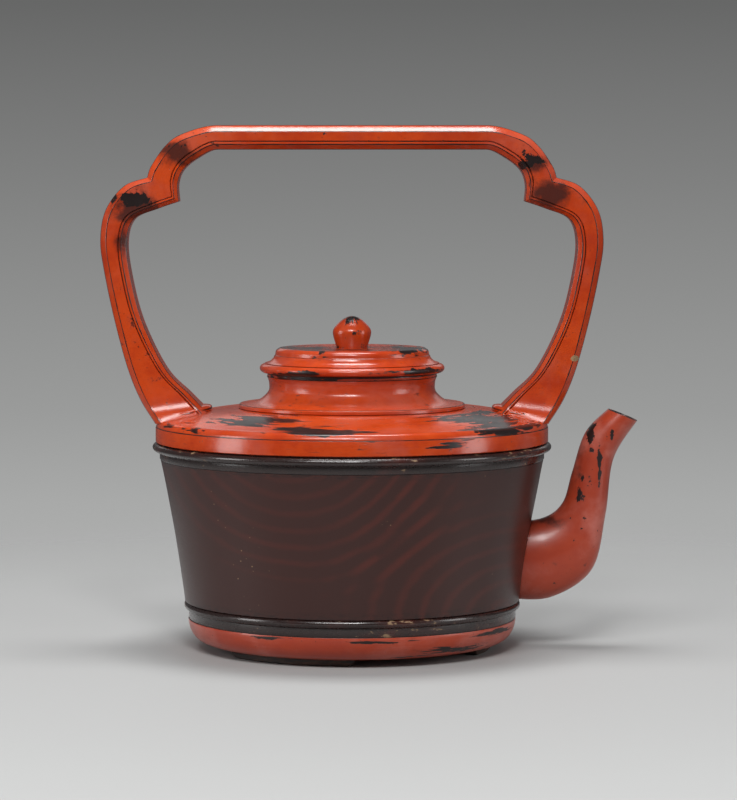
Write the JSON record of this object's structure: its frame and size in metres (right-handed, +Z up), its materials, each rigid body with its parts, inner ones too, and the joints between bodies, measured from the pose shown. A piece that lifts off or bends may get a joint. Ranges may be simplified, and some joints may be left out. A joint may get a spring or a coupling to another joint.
{
  "type": "lacquered hot water ewer",
  "caption": "Round lacquered wooden hot water ewer with a lift-off knobbed lid, a curved spout and a tall fixed arched handle, standing on bracket feet.",
  "frame": {"origin": "bottom centre of the bounding box, on the surface the ewer stands on; the axis of the turned pieces is at x = -0.01135 m", "axes": "+Z up, +X towards the spout, -Y towards the viewer of the picture"},
  "size_m": [0.3431, 0.2556, 0.335],
  "materials": {
    "red_lacquer": "worn red lacquer over black, soft gloss",
    "black_lacquer": "black lacquer, soft gloss",
    "clear_wood": "dark transparent lacquer over wood grain",
    "worn_wood": "worn brown wood with lacquer remains"
  },
  "bodies": {
    "ewer": {"foot_1": "worn_wood", "foot_2": "worn_wood", "foot_3": "worn_wood", "base": "red_lacquer", "body_wall": "clear_wood", "lower_hoop": "black_lacquer", "upper_hoop": "black_lacquer", "shoulder_board": "red_lacquer", "neck_collar": "red_lacquer", "spout_half_front": "red_lacquer", "spout_half_back": "red_lacquer", "handle_top_bar": "red_lacquer", "handle_corner_left": "red_lacquer", "handle_corner_right": "red_lacquer", "handle_leg_left": "red_lacquer", "handle_leg_right": "red_lacquer", "handle_pad_left": "red_lacquer", "handle_pad_right": "red_lacquer"},
    "lid": {"lid": "red_lacquer", "lid_knob": "red_lacquer"}
  },
  "joints": [
    {"name": "lid_lift", "type": "slide", "parent": "ewer", "child": "lid", "axis": [0, 0, 1], "range_m": [0, 0.085]}
  ]
}
